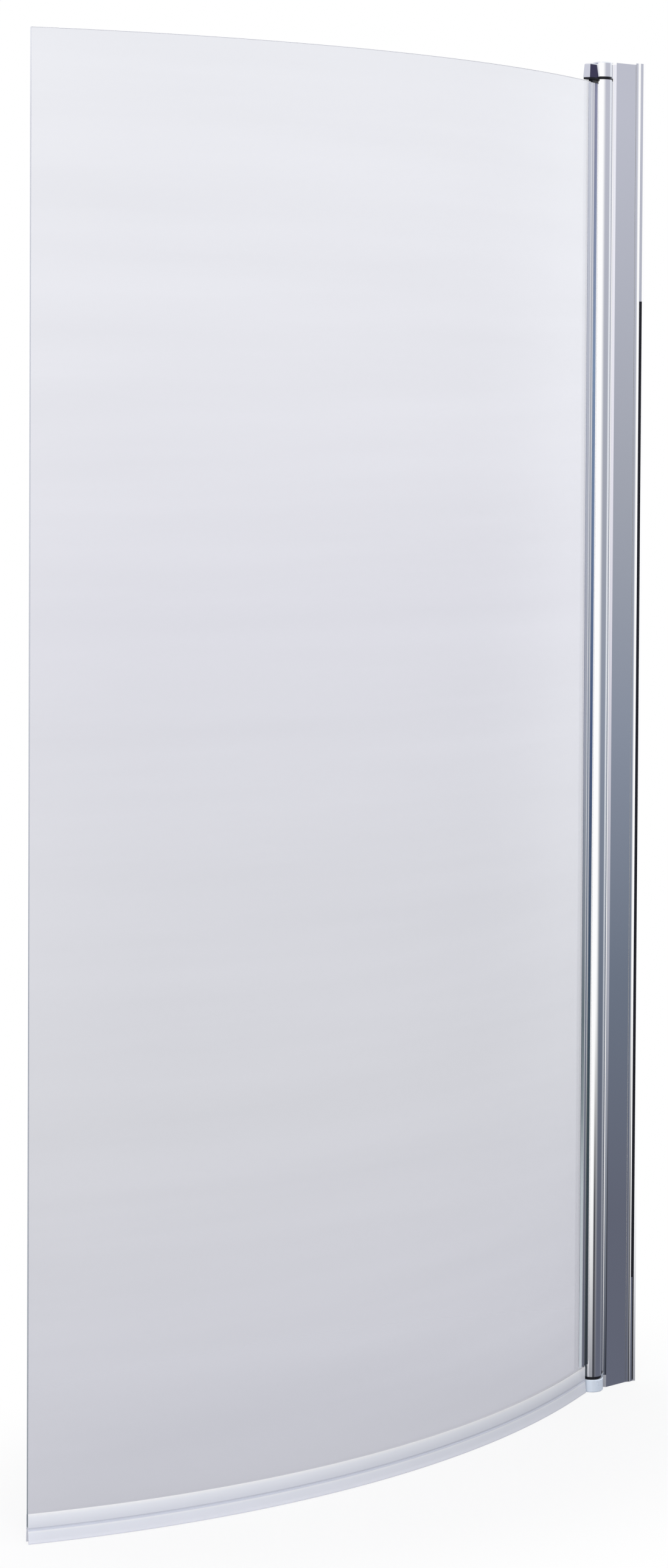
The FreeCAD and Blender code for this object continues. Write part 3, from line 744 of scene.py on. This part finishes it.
def math_of(operation, *terms):
    """A Math node over sockets or numbers, as a socket."""
    node = sky_tree.nodes.new("ShaderNodeMath")
    node.operation = operation
    for socket, term in zip(node.inputs, terms):
        if isinstance(term, (int, float)):
            socket.default_value = term
        else:
            sky_tree.links.new(term, socket)
    return node.outputs[0]


def dot_with(vector):
    """How far the direction of view points along a vector, as a socket."""
    node = sky_tree.nodes.new("ShaderNodeVectorMath")
    node.operation = "DOT_PRODUCT"
    node.inputs[1].default_value = vector
    sky_tree.links.new(direction, node.inputs[0])
    return node.outputs["Value"]


# the bearing of what a surface sees, 0 on the camera's side and positive to its right, and its height
turn = math_of("DEGREES", math_of("ARCTAN2", dot_with(right), dot_with(back)))
tilt = math_of("DEGREES", math_of("ARCSINE", dot_with(Vector((0, 0, 1)))))


def eased(value, start, end):
    """0 before start, 1 after end, or the other way about where end is below start."""
    rising = start < end
    return ranged(sky_tree, value, min(start, end), max(start, end),
                  0.0 if rising else 1.0, 1.0 if rising else 0.0, "SMOOTHSTEP")


def gradient(stops, low=-20.0, high=20.0):
    """Colours by height of view in degrees."""
    share = ranged(sky_tree, tilt, low, high, 0.0, 1.0)
    return ramp_of(sky_tree, share, [((degrees - low) / (high - low), colour) for degrees, colour in stops])


def over(under, colour, *edges):
    """Lays a soft-edged panel over what is there; each edge is one of the eased steps."""
    mask = edges[0]
    for edge in edges[1:]:
        mask = math_of("MULTIPLY", mask, edge)
    node = sky_tree.nodes.new("ShaderNodeMixRGB")
    sky_tree.links.new(mask, node.inputs["Fac"])
    sky_tree.links.new(under, node.inputs["Color1"])
    if isinstance(colour, tuple):
        node.inputs["Color2"].default_value = colour
    else:
        sky_tree.links.new(colour, node.inputs["Color2"])
    return node.outputs["Color"]


# light by bearing and height in degrees: the room, then panels laid over it one by one
room_side = gradient(((-18, shade(98, 102, 117)),
                      (-13.5, shade(95, 99, 114)),
                      (-9.5, shade(106, 115, 131)),
                      (-5.4, shade(134, 142, 158)),
                      (-1.3, shade(159, 163, 175)),
                      (4.9, shade(187, 189, 202)),
                      (14, shade(200, 201, 210))))
dark_side = gradient(((-16, shade(170, 172, 180)),
                      (-13, shade(86, 94, 108)),
                      (-9.5, shade(56, 72, 98)),
                      (-5.4, shade(72, 90, 130)),
                      (-0.8, shade(130, 148, 176)),
                      (4.9, shade(150, 156, 178)),
                      (9, shade(190, 192, 206)),
                      (14, shade(206, 208, 222))))
lit = shade(253, 253, 254)
leg_light = shade(240, 244, 250)
tube_dark = shade(56, 58, 66)
cap_dark = shade(62, 60, 84)
studio = over(room_side, lit, eased(turn, 150, 165), eased(tilt, -30, -5))
studio = over(studio, dark_side, eased(turn, -36, -52))
studio = over(studio, lit, eased(turn, -105, -150), eased(tilt, -30, -5))
studio = over(studio, leg_light, eased(turn, 102, 132), eased(tilt, -19, -3))
studio = over(studio, lit, eased(turn, -44, -28), eased(turn, 58, 16), eased(tilt, -17.5, -12.5))
studio = over(studio, tube_dark, eased(turn, 4, 18), eased(turn, 52, 22), eased(tilt, -9.5, -13.5))
studio = over(studio, cap_dark, eased(turn, 42, 52), eased(turn, 118, 104), eased(tilt, 6, 8),
              eased(tilt, 26, 20))

pick = sky_tree.nodes.new("ShaderNodeMixRGB")
pick.inputs["Color1"].default_value = (0.86, 0.87, 0.90, 1)
sky_tree.links.new(studio, pick.inputs["Color2"])
sky_tree.links.new(ray_is(sky_tree, "Is Glossy Ray"), pick.inputs["Fac"])
white = sky_tree.nodes.new("ShaderNodeMixRGB")
white.inputs["Color2"].default_value = (1, 1, 1, 1)
sky_tree.links.new(pick.outputs["Color"], white.inputs["Color1"])
sky_tree.links.new(ray_is(sky_tree, "Is Camera Ray", "Is Transmission Ray"), white.inputs["Fac"])
sky = sky_tree.nodes.new("ShaderNodeBackground")
sky_tree.links.new(white.outputs["Color"], sky.inputs["Color"])
world_out = sky_tree.nodes.new("ShaderNodeOutputWorld")
sky_tree.links.new(sky.outputs[0], world_out.inputs["Surface"])

# ---- lamp ----
lamp_size = 2.4
lamp_watts = 60
lamp_place = Vector((-2.2, -2.2, 3.0))
lamp_aim = Vector((-0.4, 0, 0.6))
lamp_data = bpy.data.lights.new("soft_lamp", "AREA")
lamp_data.shape = "RECTANGLE"
lamp_data.size = lamp_size
lamp_data.size_y = lamp_size
lamp_data.energy = lamp_watts
lamp = bpy.data.objects.new("soft_lamp", lamp_data)
lamp.location = lamp_place
lamp.rotation_euler = (lamp_aim - lamp_place).to_track_quat("-Z", "Y").to_euler()
lamp.visible_glossy = False
bpy.context.scene.collection.objects.link(lamp)

# ---- camera ----
photo_height = 2576
camera_place = Vector((-2.5865, -2.5022, 1.0340))
camera_yaw = math.radians(40.896)
camera_pitch = math.radians(1.874)
camera_roll = math.radians(0.309)
focal_pixels = 5549.9
axis_row = 854.8                # the row of the photo that the camera looks along
forward = Vector((math.sin(camera_yaw) * math.cos(camera_pitch),
                  math.cos(camera_yaw) * math.cos(camera_pitch), -math.sin(camera_pitch)))
level = Vector((math.cos(camera_yaw), -math.sin(camera_yaw), 0))
upward = level.cross(forward)
side = level * math.cos(camera_roll) + upward * math.sin(camera_roll)
top = upward * math.cos(camera_roll) - level * math.sin(camera_roll)
camera_data = bpy.data.cameras.new("camera")
camera_data.lens = camera_data.sensor_width * focal_pixels / photo_height
camera_data.shift_y = (axis_row - photo_height / 2) / photo_height
camera = bpy.data.objects.new("camera", camera_data)
camera.matrix_world = Matrix((
    (side.x, top.x, -forward.x, camera_place.x),
    (side.y, top.y, -forward.y, camera_place.y),
    (side.z, top.z, -forward.z, camera_place.z),
    (0, 0, 0, 1)))
bpy.context.scene.collection.objects.link(camera)
bpy.context.scene.camera = camera
bpy.context.scene.view_settings.view_transform = "Standard"

bpy.context.view_layer.update()
